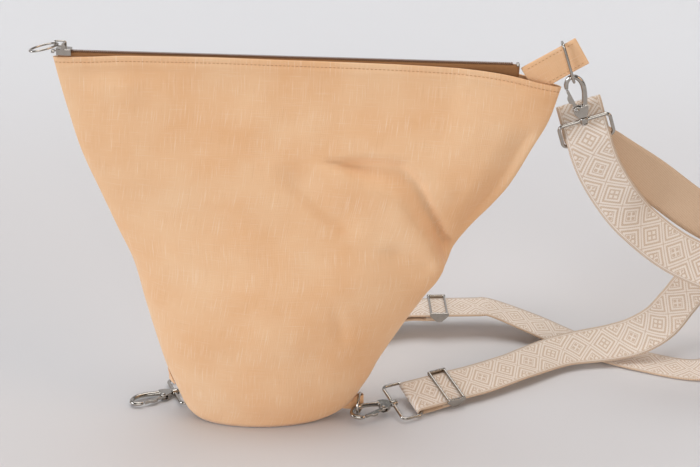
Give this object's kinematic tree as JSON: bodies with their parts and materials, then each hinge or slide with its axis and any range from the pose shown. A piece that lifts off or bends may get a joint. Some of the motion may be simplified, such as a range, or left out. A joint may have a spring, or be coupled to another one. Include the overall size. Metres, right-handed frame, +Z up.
{
  "type": "backpack",
  "caption": "Cone-shaped canvas backpack with a zipped top, one long patterned webbing through a top hook, sliding adjusters and swivel trigger hooks that clip to D-rings low on the seams",
  "frame": {"origin": "middle of the underside of the oval base, on the floor", "axes": "+X along the zip from its closed end to the top tab, -Y out of the front panel, +Z up"},
  "size_m": [0.7106, 0.2227, 0.3587],
  "materials": {
    "canvas": "slubby apricot cotton canvas",
    "binding": "brown woven seam binding",
    "zip_tape": "brown woven zip tape",
    "zip_coil": "brown moulded nylon zip rows",
    "nickel": "smooth nickel plate on steel",
    "webbing": "jacquard cotton webbing, cream lattice on taupe"
  },
  "bodies": {
    "bag": {"front_panel": "canvas", "back_panel": "canvas", "base_panel": "canvas", "left_seam_binding": "binding", "right_seam_binding": "binding", "zip_tape_front": "zip_tape", "zip_tape_back": "zip_tape", "zip_teeth_front": "zip_coil", "zip_teeth_back": "zip_coil", "zip_stop_left": "nickel", "zip_stop_right": "nickel", "top_tab": "canvas", "right_tab": "canvas", "left_tab": "canvas", "strap_webbing": "webbing", "strap_ring_top": "nickel", "strap_ring_a": "nickel"},
    "slider": {"zip_slider": "nickel"},
    "link": {"pull_link": "nickel"},
    "pull": {"pull_ring": "nickel"},
    "top_ring": {"top_ring": "nickel"},
    "upper_hook": {"hook_top": "nickel", "gate_pin_top": "nickel"},
    "upper_gate": {"gate_top": "nickel"},
    "right_hook": {"hook_a": "nickel", "gate_pin_a": "nickel"},
    "right_gate": {"gate_a": "nickel"},
    "right_d": {"right_d_ring": "nickel"},
    "left_d": {"left_d_ring": "nickel"},
    "free_ring": {"strap_ring_b": "nickel"},
    "free_hook": {"hook_b": "nickel", "gate_pin_b": "nickel"},
    "free_gate": {"gate_b": "nickel"},
    "adjuster_a": {"glide_a": "nickel", "tail_loop_a": "webbing"},
    "adjuster_b": {"glide_b": "nickel", "tail_loop_b": "webbing"}
  },
  "joints": [
    {"name": "zip_slide", "type": "slide", "parent": "bag", "child": "slider", "axis": [0.9995, 0, -0.0304], "range_m": [0, 0.363]},
    {"name": "pull_link_swing", "type": "hinge", "parent": "slider", "child": "link", "pos_m": [-0.15246, 0, 0.35422], "axis": [0, 1, 0], "range_deg": [0, 150]},
    {"name": "pull_ring_swing", "type": "hinge", "parent": "link", "child": "pull", "pos_m": [-0.15776, 0, 0.35439], "axis": [-0.5661, 0.8213, -0.0708], "range_deg": [-10, 40]},
    {"name": "top_ring_tilt", "type": "hinge", "parent": "bag", "child": "top_ring", "pos_m": [0.2608, 0, 0.3382], "axis": [0, 1, 0], "range_deg": [-1.5, 3]},
    {"name": "upper_swivel", "type": "hinge", "parent": "bag", "child": "upper_hook", "pos_m": [0.2779, 0.00397, 0.28623], "axis": [-0.3079, -0.095, 0.9467], "range_deg": [-8, 8]},
    {"name": "upper_gate_open", "type": "hinge", "parent": "upper_hook", "child": "upper_gate", "pos_m": [0.27132, 0.00288, 0.29613], "axis": [-0.0295, 0.9955, 0.0903], "range_deg": [0, 24], "stiffness_Nm_per_rad": 0.02, "springref_deg": -14.32},
    {"name": "right_swivel", "type": "hinge", "parent": "bag", "child": "right_hook", "pos_m": [0.121, 0.0009, 0.0095], "axis": [-0.9, -0.436, 0], "range_deg": [-8, 8]},
    {"name": "right_gate_open", "type": "hinge", "parent": "right_hook", "child": "right_gate", "pos_m": [0.112, -0.00691, 0.00873], "axis": [-0.1047, 0.216, -0.9708], "range_deg": [0, 24], "stiffness_Nm_per_rad": 0.02, "springref_deg": -14.32},
    {"name": "right_d_swing", "type": "hinge", "parent": "bag", "child": "right_d", "pos_m": [0.09101, 0.00018, 0.01257], "axis": [0, 0, 1], "range_deg": [-4, 2]},
    {"name": "left_d_swing", "type": "hinge", "parent": "bag", "child": "left_d", "pos_m": [-0.0823, 0.01, 0.038], "axis": [0, 0, 1], "range_deg": [-15, 18]},
    {"name": "free_ring_lift", "type": "hinge", "parent": "bag", "child": "free_ring", "pos_m": [-0.06569, 0.03755, 0.004], "axis": [-0.4024, 0.9155, 0], "range_deg": [0, 40]},
    {"name": "free_swivel", "type": "hinge", "parent": "free_ring", "child": "free_hook", "pos_m": [-0.084, 0.0295, 0.004], "axis": [-0.9155, -0.4024, 0], "continuous": true},
    {"name": "free_gate_open", "type": "hinge", "parent": "free_hook", "child": "free_gate", "pos_m": [-0.09324, 0.02194, 0.004], "axis": [0, 0, -1], "range_deg": [0, 24], "stiffness_Nm_per_rad": 0.02, "springref_deg": -14.32},
    {"name": "adjuster_a_slide", "type": "slide", "parent": "bag", "child": "adjuster_a", "axis": [0.9, 0.436, 0], "range_m": [0, 0.024]},
    {"name": "adjuster_b_slide", "type": "slide", "parent": "bag", "child": "adjuster_b", "axis": [0.9996, 0.03, 0], "range_m": [0, 0.03]}
  ]
}
